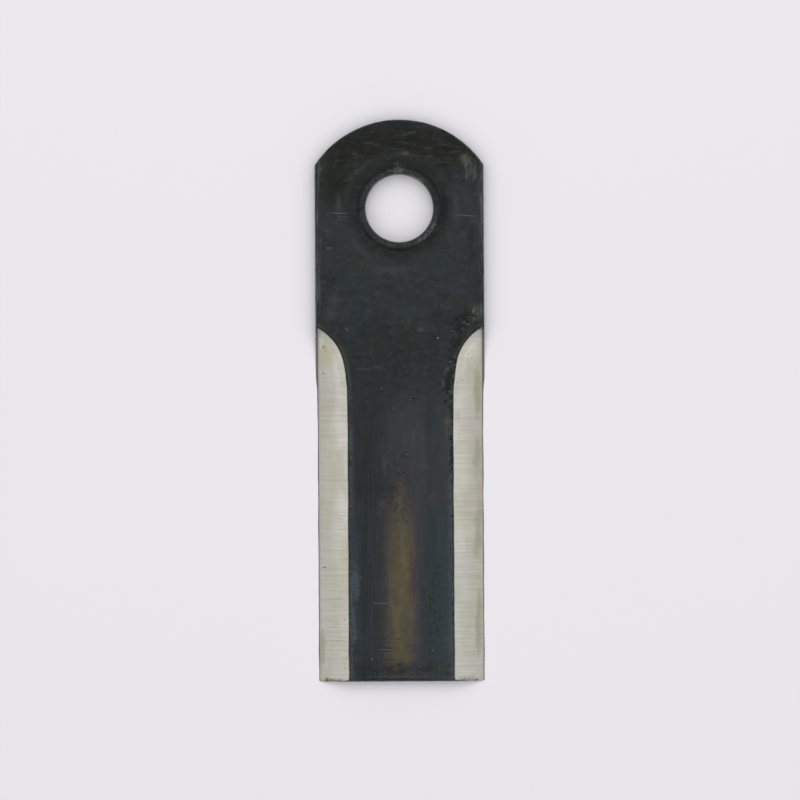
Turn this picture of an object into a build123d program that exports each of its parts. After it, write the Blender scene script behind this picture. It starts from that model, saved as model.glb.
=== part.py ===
from build123d import *
import os
from math import radians, tan

# Straw chopper knife: one flat steel blade that swings on a bolt through its round head.
# The frame has its origin on the hole's axis, halfway through the plate. +Y points to the
# crown of the head, -Y to the tip, and +Z out of the front face, the one that is ground.

# Plate, as it is blanked from the bar
blade_width = 50.0
blade_thickness = 4.0
tip_reach = 140.0           # hole axis to the tip end
tip_corner_radius = 1.2
head_reach = 26.3           # hole axis to the crown of the head
shoulder_reach = 12.9       # hole axis to the corners where the head's arc meets the sides
rim_radius = 0.8            # roll-over that the blanking die leaves round the front face

# Drawn hole: its rim is pushed up into a collar that stands in a shallow pressed dish
hole_diameter = 20.0
collar_height = 0.8         # crest above the front face
crest_width = 1.9           # from the wall of the hole to where the flank starts
flank_width = 1.6           # hollow slope from the crest down to the floor of the dish
dish_width = 2.0            # floor of the dish back up to the front face
dish_depth = 0.15
lip_radius = 0.5            # inner edge of the crest
crest_radius = 0.9          # outer edge of the crest
entry_radius = 1.0          # draw radius on the back face

# Ground facets: one on each long side, down to a sharp edge at the back face
bevel_angle = 24.0          # between the facet and the back face
edge_setback = 0.45         # sharp edge to the side of the unground bar
facet_reach = 58.3          # hole axis to where the facets have their full width
runout_radius = 74.0        # slow turn in which the grinding wheel starts to leave the plate
runout_angle = 9.6
exit_radius = 15.0          # quick turn that takes it out over the side

half_width = blade_width / 2
front = blade_thickness / 2
back = -blade_thickness / 2
hole_radius = hole_diameter / 2
crest = front + collar_height
dish_floor = front - dish_depth
crest_edge = hole_radius + crest_width
collar_foot = crest_edge + flank_width
dish_edge = collar_foot + dish_width
facet_width = blade_thickness / tan(radians(bevel_angle))
spine_side = half_width - edge_setback - facet_width

# The grinding wheel clears the front face along this footprint and then goes down the slope
# of the facet, so the run-out keeps its curve all the way to the sharp edge.
with BuildPart() as grinding_pass:
    with BuildSketch(Plane.XY.offset(front)) as footprint:
        with BuildLine():
            past_tip = Vector(spine_side, -tip_reach - blade_width)
            facet_line = Line(past_tip, (spine_side, -facet_reach))
            runout = JernArc(facet_line @ 1, facet_line % 1, runout_radius, -runout_angle)
            wheel_exit = JernArc(runout @ 1, runout % 1, exit_radius, runout_angle - 90)
            past_side = (wheel_exit @ 1) + (blade_width, 0)
            Polyline(wheel_exit @ 1, past_side, (past_side.X, past_tip.Y), past_tip)
        make_face()
    down_the_slope = Vector(1, 0, 0).rotate(Axis.Y, bevel_angle)
    extrude(amount=facet_width + blade_width, dir=down_the_slope, both=True)

with BuildPart() as knife_blade:
    with BuildSketch(Plane.XY.offset(back)) as blank:
        with BuildLine():
            sides = Polyline(
                (-half_width, shoulder_reach),
                (-half_width, -tip_reach),
                (half_width, -tip_reach),
                (half_width, shoulder_reach),
            )
            ThreePointArc(sides @ 1, (0, head_reach), sides @ 0)
        make_face()
        fillet(vertices().group_by(Axis.Y)[0], tip_corner_radius)
    extrude(amount=blade_thickness)
    fillet(faces().sort_by(Axis.Z)[-1].edges(), rim_radius)

    with BuildSketch(Plane.XZ) as dish_section:
        with BuildLine():
            rise = TangentArc((collar_foot, dish_floor), (dish_edge, front), tangent=(1, 0))
            Polyline(rise @ 1, (dish_edge, crest), (0, crest), (0, dish_floor), rise @ 0)
        make_face()
    revolve(axis=Axis.Z, mode=Mode.SUBTRACT)
    with BuildSketch(Plane.XZ) as collar_section:
        with BuildLine():
            flank = TangentArc((collar_foot, dish_floor), (crest_edge, crest), tangent=(-1, 0))
            Polyline(flank @ 1, (0, crest), (0, dish_floor), flank @ 0)
        make_face()
    revolve(axis=Axis.Z)
    Hole(radius=hole_radius)

    mouth, crest_rim = faces().sort_by(Axis.Z)[-1].edges().sort_by(SortBy.RADIUS)
    fillet(crest_rim, crest_radius)
    fillet(mouth, lip_radius)
    back_mouth = faces().sort_by(Axis.Z)[0].inner_wires()[0]
    fillet(back_mouth.edges(), entry_radius)

    add(grinding_pass.part, mode=Mode.SUBTRACT)
    add(grinding_pass.part.mirror(Plane.YZ), mode=Mode.SUBTRACT)
knife_blade.part.label = "knife_blade"

os.makedirs("parts", exist_ok=True)
export_step(knife_blade.part, "parts/knife_blade.step")
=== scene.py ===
from math import atan, cos, radians, sin

import bmesh
import bpy
from bpy.props import FloatProperty, FloatVectorProperty, PointerProperty
from mathutils import Euler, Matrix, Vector, noise
from mathutils.kdtree import KDTree


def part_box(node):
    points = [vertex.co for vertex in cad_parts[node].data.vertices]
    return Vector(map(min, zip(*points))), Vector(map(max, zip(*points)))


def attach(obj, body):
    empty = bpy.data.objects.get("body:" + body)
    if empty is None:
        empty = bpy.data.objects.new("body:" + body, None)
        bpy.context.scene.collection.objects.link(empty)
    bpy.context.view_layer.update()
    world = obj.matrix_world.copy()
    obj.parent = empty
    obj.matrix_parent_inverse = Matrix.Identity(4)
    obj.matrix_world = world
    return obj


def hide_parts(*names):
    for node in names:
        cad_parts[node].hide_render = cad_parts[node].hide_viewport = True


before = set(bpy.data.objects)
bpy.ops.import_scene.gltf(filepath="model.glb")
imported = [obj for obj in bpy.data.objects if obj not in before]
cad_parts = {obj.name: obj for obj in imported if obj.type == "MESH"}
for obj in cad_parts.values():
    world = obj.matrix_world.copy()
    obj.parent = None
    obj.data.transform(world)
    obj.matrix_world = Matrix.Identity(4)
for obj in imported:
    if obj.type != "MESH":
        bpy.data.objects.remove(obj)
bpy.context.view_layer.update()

bl_info = {
    "name": "Straw chopper knife",
    "version": (1, 0, 0),
    "blender": (4, 5, 0),
    "location": "3D View > Sidebar > Knife",
    "description": "Finishes the packed knife blade: scale, temper colours, ground facets and stage",
    "category": "Object",
}

MM = 0.001
NODE = "knife_blade"
LOW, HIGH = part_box(NODE)
BACK = LOW.z
TIP = LOW.y
CROWN = HIGH.y
HALF_WIDTH = HIGH.x
FRONT = -BACK                   # the frame's origin is halfway through the plate
BEVEL_ANGLE = radians(24)       # ground facet to the back face
FACET_TOP = -33 * MM            # the facets and their run-outs lie below this
FACET_INSIDE = 15 * MM          # and further out than this
RIDGE_LOW = 0.8 * MM            # their upper edges are higher than this, their sharp ones lower
SHANK_END = -31 * MM            # full-width shank above this
FULL_FACET = -58.3 * MM         # the facets have their full width below this
RIM = 0.9 * MM                  # the rolled-over rim of the front face, across and down
CORNER_INSIDE = 23 * MM         # the tip's end is straight inside this
LONG_WAVE = 9 * MM              # how a hand-held grind strays
SHORT_WAVE = 2.6 * MM
PLATE_WAVE = 8 * MM             # how rolled plate strays
PICTURE_CENTRE = (-0.10 * MM, -56.70 * MM)
PICTURE_TURN = radians(-0.335)  # the knife lies slightly askew in the photograph


def linear(hex_code):
    """Turns an sRGB hex colour such as #B8B4A8 into linear red, green and blue."""
    parts = [int(hex_code[i:i + 2], 16) / 255 for i in (1, 3, 5)]
    return tuple(c / 12.92 if c <= 0.04045 else ((c + 0.055) / 1.055) ** 2.4 for c in parts)


# The property groups hold what someone would change

def length(name, description, default):
    return FloatProperty(
        name=name, description=description, default=default, min=0.0,
        subtype="DISTANCE", unit="LENGTH", precision=6,
    )


def level(name, description, default):
    return FloatProperty(name=name, description=description, default=default, min=0.0)


def colour(name, description, hex_code):
    return FloatVectorProperty(
        name=name, description=description, default=linear(hex_code), size=3,
        min=0.0, max=1.0, subtype="COLOR",
    )


class KnifeShape(bpy.types.PropertyGroup):
    step: length("Mesh step", "Spacing of the cuts that let the plate be uneven", 1.0 * MM)
    edge_break: length("Edge break", "Width of the deburred edge round the back face", 0.25 * MM)
    plate_wave: length("Plate wave", "How far the rolled faces stray from flat", 0.015 * MM)
    grind_wave: length("Grind wave", "How far the ground lines stray sideways", 0.12 * MM)


class KnifeFinish(bpy.types.PropertyGroup):
    scale: colour("Scale", "Blue-black oxide left by quenching", "#272C2E")
    head: colour("Head scale", "Browner and darker oxide on the head", "#151612")
    oil: colour("Burnt oil", "Stains in streaks across the head", "#11130D")
    straw: colour("Straw temper", "Hottest line of the tempering", "#574F39")
    rubbed: colour("Rubbed metal", "Bare spots worn through the scale", "#757771")
    ground: colour("Ground steel", "Bare steel of the facets", "#C2C1B9")


class KnifeStage(bpy.types.PropertyGroup):
    floor: colour("Floor", "Pale sheet that the knife lies on", "#E9E7EC")
    floor_reach: length("Floor reach", "From the knife to the sheet's sides", 3.0)
    frame_width: length("Frame width", "Width of the picture at the front face", 236.63 * MM)
    camera_height: length("Camera height", "Camera above the front face", 1.6)
    lamp_distance: length("Lamp distance", "Soft lamp to the middle of the blade", 0.9)
    lamp_size: length("Lamp size", "Side of the soft lamp's square", 0.6)
    lamp_height: FloatProperty(
        name="Lamp height", description="Angle of the lamp above the sheet", subtype="ANGLE",
        default=radians(62), min=0.0, max=radians(90),
    )
    lamp_power: level("Lamp power", "Power of the soft lamp in watts", 1.15)
    side_light: level("Side light", "Strength of the world all round", 0.35)
    top_light: level("Top light", "Strength of the world straight above", 1.08)


# Meshes

def merged_copy():
    """A copy of the solid's loose triangles, welded and with its flat faces made whole."""
    shape = bmesh.new()
    shape.from_mesh(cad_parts[NODE].data)
    bmesh.ops.remove_doubles(shape, verts=shape.verts, dist=0.001 * MM)
    bmesh.ops.dissolve_limit(
        shape, angle_limit=radians(0.05), verts=shape.verts, edges=shape.edges,
        use_dissolve_boundaries=False, delimit=set(),
    )
    shape.normal_update()
    return shape


def is_ground(face):
    """Whether a face belongs to a facet or its run-out, which all follow the facet's slope."""
    middle = face.calc_center_median()
    if middle.y > FACET_TOP or abs(middle.x) < FACET_INSIDE or face.normal.z < 0.1:
        return False
    outwards = face.normal.x if middle.x > 0 else -face.normal.x
    on_slope = abs(outwards * cos(BEVEL_ANGLE) - face.normal.z * sin(BEVEL_ANGLE)) < 0.03
    at_side = abs(middle.x) > HALF_WIDTH - RIM and middle.z > FRONT - RIM
    return on_slope and not (at_side and face.normal.y > -0.2)


def cut(shape, place, normal):
    everything = shape.verts[:] + shape.edges[:] + shape.faces[:]
    bmesh.ops.bisect_plane(
        shape, geom=everything, dist=0.0005 * MM, plane_co=place, plane_no=normal
    )


def break_edges(shape, width):
    """Eases the blanked edges of the back face and the shoulders, away from the facets."""
    cut(shape, (0, SHANK_END, 0), (0, 1, 0))
    blanked = []
    for edge in shape.edges:
        ends = [vertex.co for vertex in edge.verts]
        angle = edge.calc_face_angle(0)
        at_back = all(end.z < BACK + 0.01 * MM for end in ends) and angle > radians(60)
        on_shank = all(end.y > SHANK_END - 0.01 * MM for end in ends)
        on_tip = all(end.y < TIP + 0.01 * MM and abs(end.x) < CORNER_INSIDE for end in ends)
        upright = abs((ends[0] - ends[1]).normalized().z) > 0.99
        if (at_back and (on_shank or on_tip)) or (upright and on_shank and angle > radians(20)):
            blanked.append(edge)
    bmesh.ops.bevel(
        shape, geom=blanked, offset=width, offset_type="OFFSET", affect="EDGES",
        segments=2, profile=0.5, material=-1, clamp_overlap=False,
    )


def grid(shape, step):
    """Cuts the plate crosswise and lengthwise, so that its faces can be uneven."""
    for i in range(1, int(2 * HALF_WIDTH / step)):
        cut(shape, (-HALF_WIDTH + i * step, 0, 0), (1, 0, 0))
    for i in range(1, int((CROWN - TIP) / step)):
        cut(shape, (0, TIP + i * step, 0), (0, 1, 0))


def ease(value, low, high):
    """0 below low, 1 above high and smooth between."""
    share = min(max((value - low) / (high - low), 0), 1)
    return share * share * (3 - 2 * share)


def roughen(shape, shape_settings):
    """Makes the rolled faces and the ground lines slightly uneven, as the real ones are."""
    ground = {vertex for face in shape.faces if face.material_index == 1 for vertex in face.verts}
    for vertex in shape.verts:
        place = vertex.co.copy()
        if vertex in ground:
            side = 1 if place.x > 0 else -1
            wave = noise.noise(Vector((side * 7, place.y / LONG_WAVE, 0)))
            wave += 0.5 * noise.noise(Vector((side * 3, place.y / SHORT_WAVE, 5)))
            held = ease(place.y, FULL_FACET, FULL_FACET + 12 * MM)
            held *= ease(abs(place.x), 22 * MM, 24.5 * MM)
            vertex.co.x += shape_settings.grind_wave * wave * (1 - held)
        elif abs(vertex.normal.z) > 0.9:
            away = ease(Vector((place.x, place.y)).length, 11 * MM, 16 * MM)
            wave = noise.noise(Vector((place.x, place.y, place.z * 9)) / PLATE_WAVE)
            if place.z > 0:
                vertex.co.z += shape_settings.plate_wave * wave * away


def shade(shape):
    """Smooth faces, with sharp edges where the facets start and where faces meet at an angle."""
    for face in shape.faces:
        face.smooth = True
    for edge in shape.edges:
        kinds = {face.material_index for face in edge.link_faces}
        edge.smooth = len(kinds) == 1 and edge.calc_face_angle(0) < radians(30)


def measure_from_ridge(shape):
    """Notes on each vertex how far it lies from the edge of a ground facet, in millimetres."""
    samples = []
    for edge in shape.edges:
        if len({face.material_index for face in edge.link_faces}) == 2:
            start, end = (vertex.co for vertex in edge.verts)
            if max(start.z, end.z) > RIDGE_LOW:
                samples += [start.lerp(end, step / 4) for step in range(4)]
    tree = KDTree(len(samples))
    for index, sample in enumerate(samples):
        tree.insert((sample.x, sample.y, 0), index)
    tree.balance()
    from_ridge = shape.verts.layers.float.new("from_ridge")
    for vertex in shape.verts:
        distance = tree.find((vertex.co.x, vertex.co.y, 0))[2]
        vertex[from_ridge] = distance / MM


# Materials

def add_node(tree, kind, inputs=None, stops=None, **settings):
    """Adds a node. An input takes a value, a socket, or a node whose shown output it links from."""
    node = tree.nodes.new(kind)
    for name, value in settings.items():
        setattr(node, name, value)
    for name, value in (inputs or {}).items():
        if isinstance(value, bpy.types.Node):
            value = next(output for output in value.outputs if output.enabled)
        if isinstance(value, bpy.types.NodeSocket):
            tree.links.new(value, node.inputs[name])
        else:
            node.inputs[name].default_value = value
    if stops:
        ramp = node.color_ramp.elements
        while len(ramp) < len(stops):
            ramp.new(1.0)
        for element, (position, stop_colour) in zip(ramp, stops):
            element.position = position
            element.color = stop_colour
    return node


def paint(hex_code):
    return (*linear(hex_code), 1)


def new_material(name):
    material = bpy.data.materials.new(name)
    material.use_nodes = True
    material.node_tree.nodes.clear()
    return material, material.node_tree


def millimetres(tree):
    """The place on the blade in millimetres from the frame's origin."""
    coordinates = add_node(tree, "ShaderNodeTexCoord").outputs["Object"]
    return add_node(tree, "ShaderNodeMapping", {"Vector": coordinates, "Scale": (1 / MM,) * 3})


def stray(tree, place, grain, reach, stretch=(1, 1, 1)):
    """Moves a place about by up to a reach, so that what is drawn from it gets ragged edges."""
    stretched = add_node(tree, "ShaderNodeMapping", {"Vector": place, "Scale": stretch})
    cloud = add_node(tree, "ShaderNodeTexNoise", {
        "Vector": stretched, "Scale": 1 / grain, "Detail": 4.0, "Roughness": 0.6,
    })
    parts = add_node(tree, "ShaderNodeSeparateColor", {"Color": cloud.outputs["Color"]})
    away = add_node(tree, "ShaderNodeCombineXYZ", {
        "X": parts.outputs[0], "Y": parts.outputs[1], "Z": parts.outputs[2],
    })
    centred = add_node(tree, "ShaderNodeVectorMath", {
        0: away, 1: (0.5, 0.5, 0.5),
    }, operation="SUBTRACT")
    return add_node(tree, "ShaderNodeVectorMath", {
        0: centred, 1: (4 * reach,) * 3, 2: place,
    }, operation="MULTIPLY_ADD")


def mask_between(tree, value, start, end):
    """A mask that is 0 below start, 1 above end and smooth between. End may be the lower."""
    return add_node(tree, "ShaderNodeMapRange", {
        "Value": value, "From Min": start, "From Max": end,
    }, interpolation_type="SMOOTHSTEP")


def distance(tree, place, centre=(0, 0, 0), scale=(1, 1, 0)):
    """How far a place is from a centre, where each direction counts by its scale."""
    offset = add_node(tree, "ShaderNodeVectorMath", {0: place, 1: centre}, operation="SUBTRACT")
    scaled = add_node(tree, "ShaderNodeVectorMath", {0: offset, 1: scale}, operation="MULTIPLY")
    return add_node(tree, "ShaderNodeVectorMath", {0: scaled}, operation="LENGTH")


def marks(tree, place, shapes, softness=0.5, cloud=None, ragged=0.0):
    """One mask for several marks: each is x, y, half its length, half its width and its turn.
    A cloud breaks their edges up, as far as ragged says."""
    nearest = None
    for x, y, half_length, half_width, turn in shapes:
        turned = place
        if turn:
            turned = add_node(tree, "ShaderNodeVectorRotate", {
                "Vector": place, "Center": (x, y, 0), "Angle": -radians(turn),
            }, rotation_type="Z_AXIS")
        share = distance(tree, turned, (x, y, 0), (1 / half_length, 1 / half_width, 0))
        if nearest is not None:
            share = add_node(tree, "ShaderNodeMath", {0: nearest, 1: share}, operation="MINIMUM")
        nearest = share
    if cloud is not None:
        nearest = add_node(tree, "ShaderNodeMath", {
            0: cloud, 1: ragged, 2: nearest,
        }, operation="MULTIPLY_ADD")
    edge = 1.0 + ragged / 2
    return mask_between(tree, nearest, edge, edge - softness)


def cloud_of(tree, place, size, stretch=(1, 1, 1), detail=6.0, roughness=0.65):
    """Noise round 0.5 whose largest grains have a size in millimetres."""
    stretched = add_node(tree, "ShaderNodeMapping", {"Vector": place, "Scale": stretch})
    return add_node(tree, "ShaderNodeTexNoise", {
        "Vector": stretched, "Scale": 1 / size, "Detail": detail, "Roughness": roughness,
    }).outputs["Fac"]


def grains(tree, place, size, low, high, stretch=(1, 1, 1), detail=3.0):
    """A mask of irregular grains of a size in millimetres, where noise lies from low to high."""
    return mask_between(tree, cloud_of(tree, place, size, stretch, detail, 0.55), low, high)


def meet(tree, *masks):
    """The mask where all the masks lie on each other."""
    total = masks[0]
    for mask in masks[1:]:
        total = add_node(tree, "ShaderNodeMath", {0: total, 1: mask}, operation="MULTIPLY")
    return total


def layer(tree, below, coat, mask, strength=1.0):
    """Lays a colour over another where the mask is, as thickly as the strength says."""
    share = meet(tree, mask, strength)
    return add_node(tree, "ShaderNodeMix", {0: share, 6: below, 7: coat}, data_type="RGBA")


def rolled_scale(tree, place, finish):
    """The scale as it left the furnace: blue-black, browner and darker on the head."""
    wandering = add_node(tree, "ShaderNodeSeparateXYZ", {"Vector": stray(tree, place, 14, 3.0)})
    along = add_node(tree, "ShaderNodeMapRange", {
        "Value": wandering.outputs["Y"], "From Min": -140, "From Max": 26,
    })
    coat = add_node(tree, "ShaderNodeValToRGB", {0: along}, stops=[
        (0.0, paint("#1B1D18")), (0.08, (*finish.scale, 1)), (0.5, paint("#1F2426")),
        (0.62, paint("#1F2325")), (0.82, (*finish.scale, 1)), (0.92, (*finish.head, 1)),
    ])
    warm = grains(tree, place, 8, 0.42, 0.66, stretch=(1, 0.8, 3))
    coat = layer(tree, coat, paint("#2D2B25"), warm, 0.4)
    cool = grains(tree, place, 11, 0.44, 0.68, stretch=(1.2, 0.6, 4))
    coat = layer(tree, coat, paint("#253037"), cool, 0.4)
    green = grains(tree, place, 4.5, 0.5, 0.72, stretch=(1, 0.7, 5))
    coat = layer(tree, coat, paint("#242E28"), green, 0.35)
    dark = grains(tree, place, 2.4, 0.46, 0.7, stretch=(0.8, 1, 1), detail=6.0)
    coat = layer(tree, coat, paint("#121516"), dark, 0.38)
    light = grains(tree, place, 1.5, 0.5, 0.78, stretch=(0.8, 1, 2), detail=5.0)
    coat = layer(tree, coat, paint("#42484A"), light, 0.34)
    hatched = grains(tree, place, 0.6, 0.45, 0.7, stretch=(0.3, 1, 3), detail=4.0)
    return layer(tree, coat, paint("#15191A"), hatched, 0.25)


def head_stains(tree, place, coat, finish):
    """Burnt oil on the head in crosswise streaks, and faint quench stains on the shank."""
    streaks = cloud_of(tree, place, 4.5, stretch=(0.4, 1, 1))
    rough = cloud_of(tree, place, 2.5)
    browned = marks(tree, place, ((0, 19, 25, 9, 0), (-19.5, 5, 6, 9, 0), (18, 18, 7, 5, 0)), 0.8, rough, 2.0)
    coat = layer(tree, coat, (*finish.head, 1), browned, 0.8)
    oil = marks(tree, place, (
        (-18.4, 8.2, 5.2, 5.0, 30), (-13.4, 16.4, 7.5, 4.2, 34), (-4.6, 18.8, 7.5, 4.2, 5),
        (5.0, 20.6, 6.5, 2.8, -8), (13.4, 18.4, 5.0, 2.2, -32), (17.2, 16.4, 1.8, 2.6, 0),
    ), 1.0, streaks, 4.0)
    coat = layer(tree, coat, (*finish.oil, 1), oil, 0.85)
    stains = (
        ("#383A33", 0.7, 1.0, 2.5, ((-12.1, 11.1, 6.8, 1.2, 39), (0.5, 16.0, 4.5, 1.2, 0),
                                    (20, 15.0, 2.2, 2.0, 0))),
        ("#151A14", 0.6, 1.0, 3.0, ((21.2, -9.5, 1.5, 8.0, 0), (-20.6, -10.5, 2.6, 2.8, 0),
                                    (-19.4, -21, 3.2, 2.4, 30), (11.8, 7.2, 1.5, 4.6, 42))),
        ("#27313A", 0.45, 1.0, 2.5, ((16, -23.5, 4.8, 5.0, 0), (-13.7, -6.0, 2.6, 3, 0),
                                    (19.5, 3.0, 5.5, 1.8, 0), (2, -31, 8, 4, 0))),
        ("#333B3C", 0.7, 1.0, 2.0, ((-2, -18.0, 9, 2.2, 0), (-11, -12.0, 6.0, 1.8, -38),
                                    (16.6, 0.0, 1.5, 8.5, 0), (-18.0, 1.0, 1.5, 5.0, 0))),
        ("#2E2B2E", 0.5, 1.0, 2.5, ((-4, -27.0, 7, 2.4, 0), (20.0, 1.2, 1.4, 1.6, 0))),
        ("#35292A", 0.6, 1.0, 2.5, ((-17.4, -17.3, 2.4, 0.9, 0), (12.6, 19.3, 2.2, 0.4, -4))),
        ("#414648", 0.5, 1.6, 2.5, ((-20.4, -30.6, 4.6, 4.4, -30), (-19.4, -27, 3.4, 2.4, 0))),
    )
    for stain, strength, softness, ragged, shapes in stains:
        mask = marks(tree, place, shapes, softness, rough, ragged)
        coat = layer(tree, coat, paint(stain), mask, strength)
    on_head = marks(tree, place, ((0, 18, 30, 13, 0),), 0.6)
    lines = grains(tree, place, 0.8, 0.44, 0.62, stretch=(0.12, 1, 1), detail=5.0)
    coat = layer(tree, coat, paint("#0A0C08"), meet(tree, lines, on_head), 0.6)
    bright = grains(tree, place, 1.0, 0.52, 0.72, stretch=(0.2, 1, 3), detail=5.0)
    return layer(tree, coat, paint("#464940"), meet(tree, bright, on_head), 0.42)


def temper_colours(tree, place, coat, finish):
    """Temper colours on the spine. The middle ran hottest and is straw with purple borders,
    and beside it lie lengthwise bands of green, violet and blue."""
    wandering = add_node(tree, "ShaderNodeSeparateXYZ", {
        "Vector": stray(tree, place, 2.4, 0.6, stretch=(1, 0.3, 1)),
    })
    along = add_node(tree, "ShaderNodeSeparateXYZ", {"Vector": stray(tree, place, 3, 1.5)}).outputs["Y"]

    # Near the tip the quench ran crosswise, so the bands end in a torn comb
    comb = cloud_of(tree, place, 1.1, stretch=(0.12, 1, 1), detail=4.0)
    torn = mask_between(tree, along, -121, -130)
    comb = add_node(tree, "ShaderNodeMath", {0: comb, 1: 0.5}, operation="SUBTRACT")
    comb = meet(tree, comb, torn)
    ragged_x = add_node(tree, "ShaderNodeMath", {
        0: comb, 1: 9.0, 2: wandering.outputs["X"],
    }, operation="MULTIPLY_ADD")
    across = add_node(tree, "ShaderNodeMapRange", {"Value": ragged_x, "From Min": -16, "From Max": 16})

    def bands(*stops):
        return add_node(tree, "ShaderNodeValToRGB", {0: across}, stops=[
            ((x + 16) / 32, paint(hex_code)) for x, hex_code in stops
        ])

    upper = bands(
        (-15.4, "#30363A"), (-13.4, "#1F2428"), (-11.2, "#161C1B"), (-8, "#1D2326"), (-5.5, "#25262B"),
        (-2.5, "#323231"), (2.0, "#363638"), (6.0, "#34363A"), (8.5, "#292E31"), (11, "#2D3336"),
        (13.3, "#313533"), (14.8, "#363C3D"),
    )
    lower = bands(
        (-15.4, "#2D363A"), (-13.0, "#293135"), (-11.2, "#222629"), (-9, "#25272E"), (-7, "#252C2C"),
        (-5.6, "#2E2E2C"), (-4.6, "#383536"), (-3.6, "#463E33"), (-2.2, "#4E4633"), (1.6, "#4E4733"),
        (2.8, "#484035"), (4.0, "#3E3737"), (5.8, "#303035"), (7.4, "#28302F"), (10, "#273035"),
        (12.2, "#2B3539"), (12.9, "#2B3535"), (13.8, "#2F383E"), (15.2, "#383E47"),
    )
    coat = layer(tree, coat, upper, mask_between(tree, along, -47, -66), 0.72)
    on_lower = meet(tree, mask_between(tree, along, -82, -97), mask_between(tree, along, -137.4, -132.5))
    coat = layer(tree, coat, lower, on_lower, 0.85)

    # The straw colour starts as a narrow tongue above the band
    rough = cloud_of(tree, place, 2.0)
    tongue = marks(tree, place, ((0.1, -84.0, 2.8, 7.5, 0), (0.2, -92, 3.8, 4.5, 0)), 1.3, rough, 2.0)
    coat = layer(tree, coat, paint("#453F39"), tongue, 0.75)
    hot = marks(tree, place, ((0, -108, 2.6, 17, 0), (-0.9, -87.5, 1.8, 3.0, 0)), 1.0, rough, 2.0)
    coat = layer(tree, coat, (*finish.straw, 1), hot, 0.7)
    violet = marks(tree, place, (
        (4.2, -67, 3.4, 4.0, -25), (7.4, -77, 2.8, 1.8, -12), (9.5, -85.5, 4.0, 2.8, -20),
        (-4.6, -74, 1.6, 7.0, 0), (-5.5, -88, 2.0, 4, 0),
    ), 1.0, rough, 3.0)
    coat = layer(tree, coat, paint("#3A383F"), violet, 0.6)
    teal = marks(tree, place, (
        (8.6, -63.5, 3.0, 4.6, 0), (-11.5, -66, 2.6, 8.0, 0), (-12, -92, 2.0, 9.0, 0), (9.5, -95, 2.4, 6, 0),
    ), 1.0, rough, 3.5)
    coat = layer(tree, coat, paint("#1F2729"), teal, 0.5)
    blued = marks(tree, place, (
        (-13.6, -110.5, 1.7, 5.6, 0), (-14.2, -124, 1.1, 6.5, 0),
    ), 0.5, rough, 3.0)
    return layer(tree, coat, paint("#3E494C"), blued, 0.7)


def speckles(tree, place, coat):
    """Burnt and rusty specks on and around the straw band."""
    around = marks(tree, place, (
        (-2.8, -76, 2.6, 7.0, 0), (-2.6, -83, 2.6, 5.0, 0), (-1.6, -88, 4.6, 3.6, 0),
        (2.4, -88.8, 3.4, 2.4, 0), (7, -78.5, 4.6, 2.2, 18), (-8.6, -88, 1.8, 3.6, 0),
        (-0.6, -92, 3.6, 2.4, 0), (1.2, -79, 3.2, 4.0, 0), (9.5, -85, 4.0, 2.4, -20),
    ), 0.9, cloud_of(tree, place, 2.2), 2.5)
    crumbs = grains(tree, place, 0.85, 0.45, 0.62, detail=3.0)
    coat = layer(tree, coat, paint("#241C1F"), meet(tree, crumbs, around), 0.65)
    rusty = marks(tree, place, (
        (7.6, -78.2, 4.4, 1.6, 10), (9.6, -85.0, 4.2, 2.2, -25), (-8.4, -88, 1.6, 3.4, 0),
    ), 1.8, cloud_of(tree, place, 1.4), 2.5)
    coat = layer(tree, coat, paint("#342C31"), rusty, 0.35)
    inner = marks(tree, place, (
        (-0.6, -85.0, 2.0, 5.0, 0), (0.0, -77, 1.6, 4.0, 0), (-1.0, -88.5, 3.0, 2.4, 0),
    ), 0.9, cloud_of(tree, place, 1.6), 3.0)
    sparks = grains(tree, place, 0.7, 0.57, 0.68, stretch=(1, 1, 4), detail=3.0)
    coat = layer(tree, coat, paint("#544F46"), meet(tree, sparks, inner), 0.65)
    band = marks(tree, place, ((0.2, -112, 5.5, 26, 0),), 0.5)
    dots = grains(tree, place, 0.8, 0.6, 0.7, detail=2.0)
    coat = layer(tree, coat, paint("#2F271E"), meet(tree, dots, band), 0.5)
    lengthwise = grains(tree, place, 2.2, 0.42, 0.68, stretch=(1, 0.25, 1), detail=5.0)
    coat = layer(tree, coat, paint("#666044"), meet(tree, lengthwise, band), 0.35)
    brown = grains(tree, place, 1.8, 0.5, 0.72, stretch=(0.8, 0.5, 3), detail=5.0)
    return layer(tree, coat, paint("#3E372C"), meet(tree, brown, band), 0.3)


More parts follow.
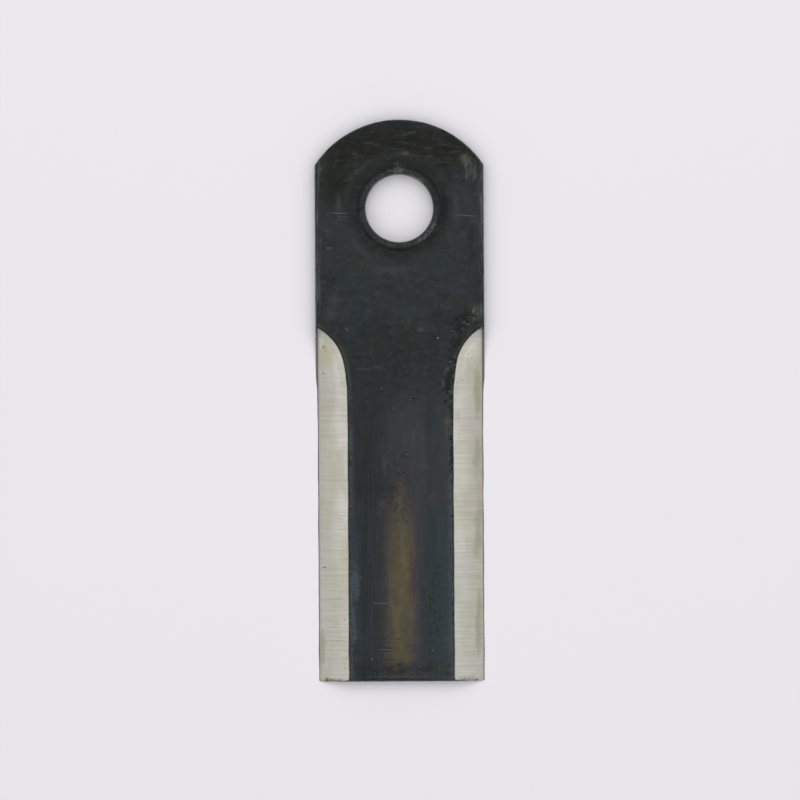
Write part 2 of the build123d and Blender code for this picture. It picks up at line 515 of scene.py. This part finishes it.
def ridge_line(tree, place, coat):
    """Along the ground facets: a dark line where the ridge is burred, partly painted shade, a paler strip,
    and on the right run-out scale that tore off in chips."""
    from_ridge = add_node(tree, "ShaderNodeAttribute", attribute_name="from_ridge").outputs["Fac"]
    parts = add_node(tree, "ShaderNodeSeparateXYZ", {"Vector": place})
    wavy = grains(tree, place, 4, 0.36, 0.6, stretch=(0.3, 0.5, 1), detail=5.0)
    strip = meet(tree, mask_between(tree, from_ridge, 1.9, 0.7), wavy)
    strip_paint = add_node(tree, "ShaderNodeMix", {
        0: mask_between(tree, parts.outputs["Y"], -42, -50), 6: paint("#3D3C31"), 7: paint("#3C454A"),
    }, data_type="RGBA")
    coat = layer(tree, coat, strip_paint, strip, 0.6)

    # On the right run-out the scale tore off in chips, most of all at its top
    run_out = (
        (19.0, -33.4, 3.0, 2.4, 35), (16.7, -40.2, 3.8, 1.4, 66), (15.4, -45.4, 3.4, 1.3, 80),
        (14.2, -51.5, 5.4, 1.0, 88), (14.9, -60.0, 5.0, 0.8, 90), (15.1, -73.0, 7.0, 0.6, 90),
    )
    chips = cloud_of(tree, place, 1.3, detail=5.0)
    torn = marks(tree, place, run_out, 0.35, chips, 7.0)
    coat = layer(tree, coat, paint("#0D120D"), torn, 0.85)
    bits = grains(tree, place, 0.9, 0.56, 0.64, stretch=(1, 1, 3), detail=3.0)
    beside = marks(tree, place, (
        (19.4, -34.0, 3.6, 2.8, 35), (15.8, -37.2, 1.4, 1.6, 60), (14.9, -46.5, 3.4, 1.2, 80),
        (14.9, -55.5, 5.0, 0.8, 90),
    ), 0.8)
    coat = layer(tree, coat, paint("#565B53"), meet(tree, bits, beside), 0.7)

    near = mask_between(tree, from_ridge, 1.6, 0.5)
    nicks = grains(tree, place, 0.8, 0.56, 0.62, stretch=(1, 0.7, 1), detail=3.0)
    coat = layer(tree, coat, paint("#0F1211"), meet(tree, nicks, near), 0.75)
    glints = grains(tree, place, 0.6, 0.6, 0.68, stretch=(1, 0.5, 3), detail=2.0)
    coat = layer(tree, coat, paint("#5C646A"), meet(tree, glints, near), 0.6)
    # A dark line right at the ridge: a burr, with painted shade
    burr_and_shade_width = mask_between(tree, from_ridge, 0.5, 0.1)
    return layer(tree, coat, paint("#11130C"), burr_and_shade_width, 0.8)


def collar_wear(tree, place, coat):
    """The collar: its crest is rubbed pale in places. Round its foot the scale is darker, partly its own
    colour and partly painted shade in the hollow, and the marks at its foot are dirt and painted shadow.
    """
    radius = distance(tree, place)
    rough = cloud_of(tree, place, 2.0)
    ragged = add_node(tree, "ShaderNodeMath", {0: rough, 1: 4.0, 2: radius}, operation="MULTIPLY_ADD")
    rings = add_node(tree, "ShaderNodeMapRange", {"Value": ragged, "From Min": 11.0, "From Max": 22.0})
    # Darkest at 13.4 mm round the collar's foot: darker scale with painted shade in the hollow
    ring_paint = add_node(tree, "ShaderNodeValToRGB", {0: rings}, stops=[
        ((r - 9) / 11, paint(hex_code)) for r, hex_code in (
            (10.3, "#272C2D"), (11.2, "#1E2425"), (12.2, "#1C2220"), (13.4, "#121714"),
            (14.4, "#171D1B"), (16.2, "#232928"), (18.0, "#212526"),
        )
    ])
    on_rings = mask_between(tree, radius, 18.5, 14.6)
    coat = layer(tree, coat, ring_paint, on_rings, 0.75)
    in_dish = mask_between(tree, radius, 17.0, 14.0)
    blotches = grains(tree, place, 1.6, 0.44, 0.66, stretch=(0.8, 1, 1), detail=6.0)
    coat = layer(tree, coat, paint("#0F1411"), meet(tree, in_dish, blotches), 0.45)
    flecks = grains(tree, place, 1.8, 0.5, 0.72, stretch=(0.7, 1, 2), detail=5.0)
    coat = layer(tree, coat, paint("#363D3B"), meet(tree, in_dish, flecks), 0.35)
    on_crest = mask_between(tree, radius, 12.0, 11.2)
    crumbs = grains(tree, place, 0.9, 0.44, 0.66, stretch=(1, 1, 3), detail=5.0)
    coat = layer(tree, coat, paint("#44494B"), meet(tree, on_crest, crumbs), 0.42)
    nicks = grains(tree, place, 0.6, 0.5, 0.64, stretch=(1, 1, 5), detail=4.0)
    on_right = marks(tree, place, ((10.8, 2.5, 2.6, 6.5, 0),), 0.8)
    coat = layer(tree, coat, paint("#171B1E"), meet(tree, on_crest, on_right), 0.5)
    coat = layer(tree, coat, paint("#0E1212"), meet(tree, on_crest, nicks, on_right), 0.7)
    spots = marks(tree, place, (
        (-0.4, 11.3, 2.6, 1.4, 0), (9.8, -5.7, 2.4, 1.0, 62), (7.3, -8.6, 2.6, 0.9, 40),
        (-6.9, 7.6, 3.2, 0.5, 45), (5.6, 8.6, 3.0, 0.5, -33),
    ), 1.2, cloud_of(tree, place, 0.8, detail=3.0), 4.0)
    coat = layer(tree, coat, paint("#5E5F59"), spots, 0.7)
    # Dark marks at the collar's foot below it and to its right: dirt and painted shadow of the collar
    foot = marks(tree, place, (
        (-0.7, -12.3, 4.2, 0.5, 0), (13.4, 0.5, 1.2, 6.0, 0), (9.8, -8.7, 2.8, 0.5, 48),
        (-9.0, -8.4, 3.0, 0.5, -48),
    ), 0.7, rough, 2.0)
    return layer(tree, coat, paint("#0E0D0B"), foot, 0.6)


def wear(tree, place, coat, finish):
    """Spots rubbed to bare metal, scratches and chips."""
    parts = add_node(tree, "ShaderNodeSeparateXYZ", {"Vector": place})
    side = add_node(tree, "ShaderNodeMath", {0: parts.outputs["X"]}, operation="ABSOLUTE")
    drawn = grains(tree, place, 0.45, 0.46, 0.6, stretch=(1, 0.05, 1), detail=4.0)
    at_side = mask_between(tree, side, 22.9, 24.3)
    on_shank = mask_between(tree, parts.outputs["Y"], -34, -28)
    coat = layer(tree, coat, paint("#5B5F5B"), meet(tree, at_side, on_shank, drawn), 0.5)

    upright = cloud_of(tree, place, 1.6, stretch=(1, 0.3, 1))
    rubbed = marks(tree, place, (
        (21.8, 11.0, 4.0, 5.6, 12), (22.8, -31.6, 2.8, 3.8, 0), (24.0, 2.5, 0.7, 5.0, 0),
    ), 1.4, upright, 3.5)
    coat = layer(tree, coat, paint("#454741"), rubbed, 0.7)
    bare = grains(tree, place, 0.9, 0.46, 0.7, stretch=(1, 0.18, 1), detail=5.0)
    coat = layer(tree, coat, (*finish.rubbed, 1), meet(tree, rubbed, bare), 0.75)
    rough = cloud_of(tree, place, 1.2)
    buff = marks(tree, place, (
        (19.2, 14.4, 2.6, 1.6, -30), (1.6, 16.2, 1.6, 0.9, 0), (14.2, -48.0, 1.3, 1.6, 0),
        (6.2, -36, 1.6, 1.0, 0), (12.8, -51.5, 0.9, 2.0, 0), (-23.4, 11.2, 0.9, 2.4, -20),
        (13.6, -64, 0.8, 4.0, 0),
    ), 0.9, rough, 3.0)
    coat = layer(tree, coat, paint("#494A41"), buff, 0.55)
    scratches = marks(tree, place, (
        (-17.9, -1.36, 4.4, 0.17, 0), (19.6, -2.2, 5.2, 0.15, -5), (-20.7, -11.6, 2.2, 0.17, 0),
        (-6.2, -116.8, 3.3, 0.16, 0), (-4.7, -130.5, 3.5, 0.13, 0), (-15.7, -35.7, 1.2, 0.22, -45),
    ), 0.9, rough, 1.5)
    coat = layer(tree, coat, paint("#676B66"), scratches, 0.7)
    # Faint pale scratches, and just above the tip's rim a long pale line that is a painted highlight
    faint = marks(tree, place, (
        (-16.7, -2.4, 3.1, 0.14, 0), (-17.2, -3.3, 2.6, 0.12, 0), (-21.0, -12.1, 1.5, 0.14, 0),
        (-11.1, -47.5, 3.8, 0.18, 0), (5.6, -116.7, 1.7, 0.16, 0),
        (0, -138.5, 15.0, 0.2, 0),
    ), 0.9, rough, 1.5)
    coat = layer(tree, coat, paint("#4C524F"), faint, 0.6)
    # Dark scratch lines, and along the tip's rolled-over rim a long dark line that is painted shade
    dark_lines_and_tip_shade = marks(tree, place, (
        (-13.0, -116.8, 2.2, 0.28, 0), (-12.6, -43.9, 4.2, 0.9, 0), (-2.1, -125.6, 2.2, 0.2, 0),
        (-1.4, -127.4, 2.6, 0.2, 0), (-4.4, -131.0, 2.2, 0.14, 0), (-3.2, -126.4, 2.4, 0.14, 0),
        (15.2, -116.8, 0.7, 0.5, 0), (15.2, -123.6, 0.6, 0.8, 0), (-0.1, -136.8, 2.2, 0.9, 0),
        (0, -139.4, 17, 0.6, 0), (-14.2, -129.6, 0.6, 0.8, 0), (-14.8, -132, 0.6, 0.8, 0),
    ), 0.9, rough, 1.5)
    coat = layer(tree, coat, paint("#0D100C"), dark_lines_and_tip_shade, 0.65)
    crosswise = cloud_of(tree, place, 1.6, stretch=(0.35, 1, 1))
    tip_grime = marks(tree, place, (
        (0, -136.4, 15.5, 2.4, 0), (-14.2, -134, 2.2, 5.0, 0), (14.2, -136, 1.8, 4.0, 0),
    ), 1.4, crosswise, 5.0)
    coat = layer(tree, coat, paint("#14150F"), tip_grime, 0.75)
    tip_bits = grains(tree, place, 0.6, 0.54, 0.7, stretch=(0.8, 1, 3), detail=4.0)
    at_tip = mask_between(tree, parts.outputs["Y"], -133.5, -138)
    coat = layer(tree, coat, paint("#4C4F4B"), meet(tree, tip_bits, at_tip), 0.35)
    halos = marks(tree, place, (
        (10.9, -38.0, 1.6, 1.3, 0), (-5.8, -53.5, 0.9, 0.7, 0), (3.4, -56.6, 1.3, 0.8, 0),
        (1.5, -73.3, 1.0, 0.8, 0),
    ), 0.6, cloud_of(tree, place, 0.5, detail=2.0), 6.0)
    coat = layer(tree, coat, paint("#0F1213"), halos, 0.7)
    specks = marks(tree, place, (
        (11.2, -38.4, 0.42, 0.28, 20), (-5.6, -53.3, 0.2, 0.2, 0), (2.9, -56.6, 0.3, 0.18, 30),
        (-2.1, -59.1, 0.17, 0.17, 0), (1.8, -72.9, 0.2, 0.2, 0), (9.1, -130.9, 0.2, 0.2, 0),
        (-8.8, -133.3, 0.16, 0.4, 0),
    ), 0.8)
    return layer(tree, coat, paint("#959794"), specks, 0.8)


def rim_shine(tree, place, coat):
    """The rolled-over rim gets a painted highlight in patches, and the bore is painted paler."""
    parts = add_node(tree, "ShaderNodeSeparateXYZ", {"Vector": place})
    below_face = mask_between(tree, parts.outputs["Z"], 1.95, 1.75)
    above_wall = mask_between(tree, parts.outputs["Z"], 1.1, 1.3)
    off_collar = mask_between(tree, distance(tree, place), 17, 20)
    patchy = grains(tree, place, 3, 0.34, 0.56, stretch=(1, 0.5, 1), detail=5.0)
    mask = meet(tree, below_face, above_wall, off_collar, patchy)
    # Painted highlight on the rolled-over rim
    coat = layer(tree, coat, paint("#5E666A"), mask, 0.65)
    in_bore = mask_between(tree, distance(tree, place), 10.25, 10.1)
    return layer(tree, coat, paint("#8D8F8B"), in_bore, 0.6)


def tempered_scale(finish):
    """Quenched and tempered spring steel. Its thin oxide is dull and blue-black, with temper
    colours where it ran hot, oil stains on the head and bare metal where it was rubbed."""
    material, tree = new_material("tempered_scale")
    place = millimetres(tree)
    parts = add_node(tree, "ShaderNodeSeparateXYZ", {"Vector": place})
    at_front = mask_between(tree, parts.outputs["Z"], 0.9, 1.2)

    plain = rolled_scale(tree, place, finish)
    front = head_stains(tree, place, plain, finish)
    front = temper_colours(tree, place, front, finish)
    front = speckles(tree, place, front)
    front = collar_wear(tree, place, front)
    front = wear(tree, place, front, finish)
    front = ridge_line(tree, place, front)
    coat = rim_shine(tree, place, layer(tree, plain, front, at_front))

    rougher = marks(tree, place, ((0, -46, 16, 17, 0), (9.5, -116, 6, 22, 0)), 0.8)
    mottled = grains(tree, place, 1.1, 0.4, 0.64, detail=6.0)
    coat = layer(tree, coat, paint("#0D1112"), meet(tree, mottled, rougher), 0.4)
    streaks = grains(tree, place, 0.9, 0.42, 0.7, stretch=(1, 0.07, 1), detail=4.0)
    on_spine = mask_between(tree, parts.outputs["Y"], -30, -90)
    coat = layer(tree, coat, paint("#3E4549"), meet(tree, streaks, on_spine), 0.18)
    pits = add_node(tree, "ShaderNodeTexNoise", {
        "Vector": place, "Scale": 1 / 0.6, "Detail": 4.0, "Roughness": 0.6,
    })
    bump = add_node(tree, "ShaderNodeBump", {
        "Height": pits.outputs["Fac"], "Strength": 0.3, "Distance": 0.02 * MM,
    })
    dullness = add_node(tree, "ShaderNodeMapRange", {
        "Value": grains(tree, place, 4, 0.35, 0.65), "To Min": 0.42, "To Max": 0.58,
    })
    shader = add_node(tree, "ShaderNodeBsdfPrincipled", {
        "Base Color": coat, "Roughness": dullness, "Normal": bump, "Specular IOR Level": 0.15,
    })
    add_node(tree, "ShaderNodeOutputMaterial", {"Surface": shader})
    return material


def ground_steel(finish):
    """Bare steel off a grinding wheel: a satin metal with fine lines across the facet, which
    curve with the wheel where it left the plate."""
    material, tree = new_material("ground_steel")
    place = millimetres(tree)
    parts = add_node(tree, "ShaderNodeSeparateXYZ", {"Vector": place})
    from_ridge = add_node(tree, "ShaderNodeAttribute", attribute_name="from_ridge").outputs["Fac"]
    # Paler by the ridge and darker towards the sharp edge: a painted reflection gradient across the facet
    across = add_node(tree, "ShaderNodeMapRange", {"Value": from_ridge, "From Min": 0, "From Max": 9})
    coat = add_node(tree, "ShaderNodeValToRGB", {0: across}, stops=[
        (0.0, paint("#D9D8D0")), (0.3, paint("#D5D4CC")), (0.6, (*finish.ground, 1)),
        (1.0, paint("#B8B6AC")),
    ])
    coat = layer(tree, coat, (*finish.ground, 1), mask_between(tree, parts.outputs["Y"], -88, -116), 0.6)
    rough = cloud_of(tree, place, 5, stretch=(1, 0.6, 1))
    olive = grains(tree, place, 7, 0.4, 0.68, stretch=(1.2, 0.5, 1), detail=4.0)
    coat = layer(tree, coat, paint("#B8B89F"), olive, 0.5)
    rosy = grains(tree, place, 6, 0.46, 0.7, stretch=(1, 0.6, 2), detail=4.0)
    coat = layer(tree, coat, paint("#BFB2AB"), rosy, 0.45)

    # Oil dries darker along the outer part of each facet and at the tip
    film = marks(tree, place, (
        (23.0, -57, 1.5, 10, 0), (22.8, -72, 1.8, 10, 0), (22.9, -92, 1.9, 14, 0),
        (22.9, -122, 1.3, 14, 0), (-23.8, -130, 1.2, 8, 0),
        (20, -140.5, 7, 2.6, 0), (-20, -140.5, 7, 2.6, 0),
    ), 0.8, rough, 2.5)
    coat = layer(tree, coat, paint("#909178"), film, 0.55)
    yellow = marks(tree, place, ((-21.6, -43.0, 4.4, 5.4, 0),), 1.0, rough, 2.0)
    coat = layer(tree, coat, paint("#B9B188"), yellow, 0.45)
    pale = marks(tree, place, ((21.3, -41, 3.8, 7.5, -25), (-23.0, -38.5, 1.2, 3.5, -15)), 1.0, rough, 2.0)
    coat = layer(tree, coat, paint("#E9E8DC"), pale, 0.7)

    crosswise = grains(tree, place, 0.8, 0.3, 0.7, stretch=(0.05, 1, 0.05), detail=6.0)
    curved_place = add_node(tree, "ShaderNodeCombineXYZ", {"X": from_ridge, "Y": 3.7, "Z": 0.0})
    curved = grains(tree, curved_place, 0.7, 0.32, 0.68, detail=5.0)
    in_runout = mask_between(tree, parts.outputs["Y"], -58, -46)
    lines = add_node(tree, "ShaderNodeMix", {0: meet(tree, in_runout, 0.6), 2: crosswise, 3: curved})
    coat = layer(tree, coat, paint("#98968A"), lines, 0.33)

    near = cloud_of(tree, place, 1.2)
    pits = marks(tree, place, (
        (23.5, -89.5, 0.34, 0.34, 0), (-16.95, -121.6, 0.3, 0.5, 0), (-22.7, -40.8, 0.4, 0.6, 30),
        (-22.7, -48.7, 0.34, 0.42, 0), (18.3, -50.9, 0.36, 0.3, 0), (-16.9, -136.1, 0.3, 0.3, 0),
        (20.2, -43.2, 0.4, 0.25, 0), (-22.8, -106.2, 0.7, 0.3, 0), (-19.7, -41.4, 0.3, 0.2, 0),
        (-20.4, -42.9, 0.3, 0.3, 0), (-18.4, -47.2, 0.25, 0.3, 0),
    ), 0.9, near, 1.5)
    coat = layer(tree, coat, paint("#3A3826"), pits, 0.75)
    scores = marks(tree, place, (
        (20.7, -131.4, 4.9, 0.2, 4), (20.4, -132.3, 4.4, 0.16, 5), (-19.6, -127.8, 3.6, 0.16, 0),
        (-20, -123.8, 3.8, 0.14, 0), (-20, -115.6, 3.8, 0.14, 0),
    ), 0.9, near, 1.5)
    coat = layer(tree, coat, paint("#7D7C69"), scores, 0.6)
    # A dark band along the lower end of each facet is painted shade
    painted_tip_shade = marks(tree, place, ((19.6, -140.4, 6, 1.3, 0), (-19.6, -140.4, 6, 1.3, 0)), 0.7, near, 4.0)
    coat = layer(tree, coat, paint("#4A4A36"), painted_tip_shade, 0.75)
    # A dark line right at the ridge: a burr, with painted shade
    burr_and_ridge_shade = mask_between(tree, from_ridge, 0.3, 0.05)
    coat = layer(tree, coat, paint("#5C5C4B"), burr_and_ridge_shade, 0.8)
    side = add_node(tree, "ShaderNodeMath", {0: parts.outputs["X"]}, operation="ABSOLUTE")
    coat = layer(tree, coat, paint("#A19D9F"), mask_between(tree, side, 23.8, 24.0), 0.5)
    # The outermost strip of each facet is painted dark: painted shade along the sharp edge
    coat = layer(tree, coat, paint("#4E4B4D"), mask_between(tree, side, 24.15, 24.4), 0.75)

    bump = add_node(tree, "ShaderNodeBump", {
        "Height": lines, "Strength": 0.3, "Distance": 0.02 * MM,
    })
    shader = add_node(tree, "ShaderNodeBsdfPrincipled", {
        "Base Color": coat, "Metallic": 1.0, "Roughness": 0.4, "Normal": bump,
    })
    add_node(tree, "ShaderNodeOutputMaterial", {"Surface": shader})
    return material


def floor_sheet(stage):
    """Matt pale sheet."""
    material, tree = new_material("pale_sheet")
    shader = add_node(tree, "ShaderNodeBsdfPrincipled", {
        "Base Color": (*stage.floor, 1), "Roughness": 0.9, "Specular IOR Level": 0.0,
    })
    add_node(tree, "ShaderNodeOutputMaterial", {"Surface": shader})
    return material


def studio_world(stage):
    """An even white sky that is dimmer towards the horizon, as under the lid of a scanner."""
    world = bpy.data.worlds.new("studio")
    world.use_nodes = True
    tree = world.node_tree
    tree.nodes.clear()
    direction = add_node(tree, "ShaderNodeTexCoord").outputs["Generated"]
    parts = add_node(tree, "ShaderNodeSeparateXYZ", {"Vector": direction})
    overhead = add_node(tree, "ShaderNodeMapRange", {
        "Value": parts.outputs["Z"], "From Min": 0.35, "From Max": 0.65,
        "To Min": stage.side_light, "To Max": stage.top_light,
    }, interpolation_type="SMOOTHSTEP")
    background = add_node(tree, "ShaderNodeBackground", {
        "Color": (1, 1, 1, 1), "Strength": overhead,
    })
    add_node(tree, "ShaderNodeOutputWorld", {"Surface": background})
    return world


# Operators

class KNIFE_OT_blade(bpy.types.Operator):
    """Model the blade's uneven faces over the solid and give it its two finishes"""
    bl_idname = "knife.blade"
    bl_label = "Blade"

    def execute(self, context):
        settings = context.scene.knife_shape
        shape = merged_copy()
        for face in shape.faces:
            face.material_index = 1 if is_ground(face) else 0
        break_edges(shape, settings.edge_break)
        grid(shape, settings.step)
        shape.normal_update()
        roughen(shape, settings)
        shape.normal_update()
        shade(shape)
        measure_from_ridge(shape)
        mesh = bpy.data.meshes.new("tempered_blade")
        shape.to_mesh(mesh)
        shape.free()
        blade = bpy.data.objects.new("tempered_blade", mesh)
        context.scene.collection.objects.link(blade)
        finish = context.scene.knife_finish
        mesh.materials.append(tempered_scale(finish))
        mesh.materials.append(ground_steel(finish))
        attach(blade, "root")
        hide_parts(NODE)
        return {"FINISHED"}


class KNIFE_OT_stage(bpy.types.Operator):
    """Lay the pale sheet and set the lamp and the camera over the knife"""
    bl_idname = "knife.stage"
    bl_label = "Stage"

    def execute(self, context):
        stage = context.scene.knife_stage
        sheet = bmesh.new()
        bmesh.ops.create_grid(sheet, x_segments=1, y_segments=1, size=stage.floor_reach)
        bmesh.ops.translate(sheet, verts=sheet.verts, vec=(0, 0, BACK))
        mesh = bpy.data.meshes.new("floor")
        sheet.to_mesh(mesh)
        sheet.free()
        floor = bpy.data.objects.new("floor", mesh)
        context.scene.collection.objects.link(floor)
        mesh.materials.append(floor_sheet(stage))

        middle = Vector((*PICTURE_CENTRE, FRONT))
        camera = bpy.data.objects.new("camera", bpy.data.cameras.new("camera"))
        camera.data.angle = 2 * atan(stage.frame_width / 2 / stage.camera_height)
        camera.location = middle + Vector((0, 0, stage.camera_height))
        camera.rotation_euler = Euler((0, 0, PICTURE_TURN))
        context.scene.collection.objects.link(camera)
        context.scene.camera = camera

        towards_lamp = Vector((0, cos(stage.lamp_height), sin(stage.lamp_height)))
        lamp = bpy.data.objects.new("key", bpy.data.lights.new("key", "AREA"))
        lamp.data.size = stage.lamp_size
        lamp.data.energy = stage.lamp_power
        lamp.location = middle + towards_lamp * stage.lamp_distance
        lamp.rotation_euler = (-towards_lamp).to_track_quat("-Z", "Y").to_euler()
        context.scene.collection.objects.link(lamp)

        context.scene.world = studio_world(stage)
        context.scene.view_settings.view_transform = "Standard"
        return {"FINISHED"}


class KNIFE_PT_panel(bpy.types.Panel):
    bl_label = "Straw chopper knife"
    bl_idname = "KNIFE_PT_panel"
    bl_space_type = "VIEW_3D"
    bl_region_type = "UI"
    bl_category = "Knife"

    def draw(self, context):
        for operator in OPERATORS:
            self.layout.operator(operator.bl_idname)
        for group in GROUPS:
            settings = getattr(context.scene, group)
            for name in GROUPS[group].__annotations__:
                self.layout.prop(settings, name)


GROUPS = {"knife_shape": KnifeShape, "knife_finish": KnifeFinish, "knife_stage": KnifeStage}
OPERATORS = (KNIFE_OT_blade, KNIFE_OT_stage)


def register():
    for item in (*GROUPS.values(), *OPERATORS, KNIFE_PT_panel):
        bpy.utils.register_class(item)
    for name, group in GROUPS.items():
        setattr(bpy.types.Scene, name, PointerProperty(type=group))


def unregister():
    for name in GROUPS:
        delattr(bpy.types.Scene, name)
    for item in (KNIFE_PT_panel, *reversed(OPERATORS), *reversed(GROUPS.values())):
        bpy.utils.unregister_class(item)


def main():
    register()
    for operator in OPERATORS:
        group, name = operator.bl_idname.split(".")
        getattr(getattr(bpy.ops, group), name)()


if __name__ == "__main__":
    main()
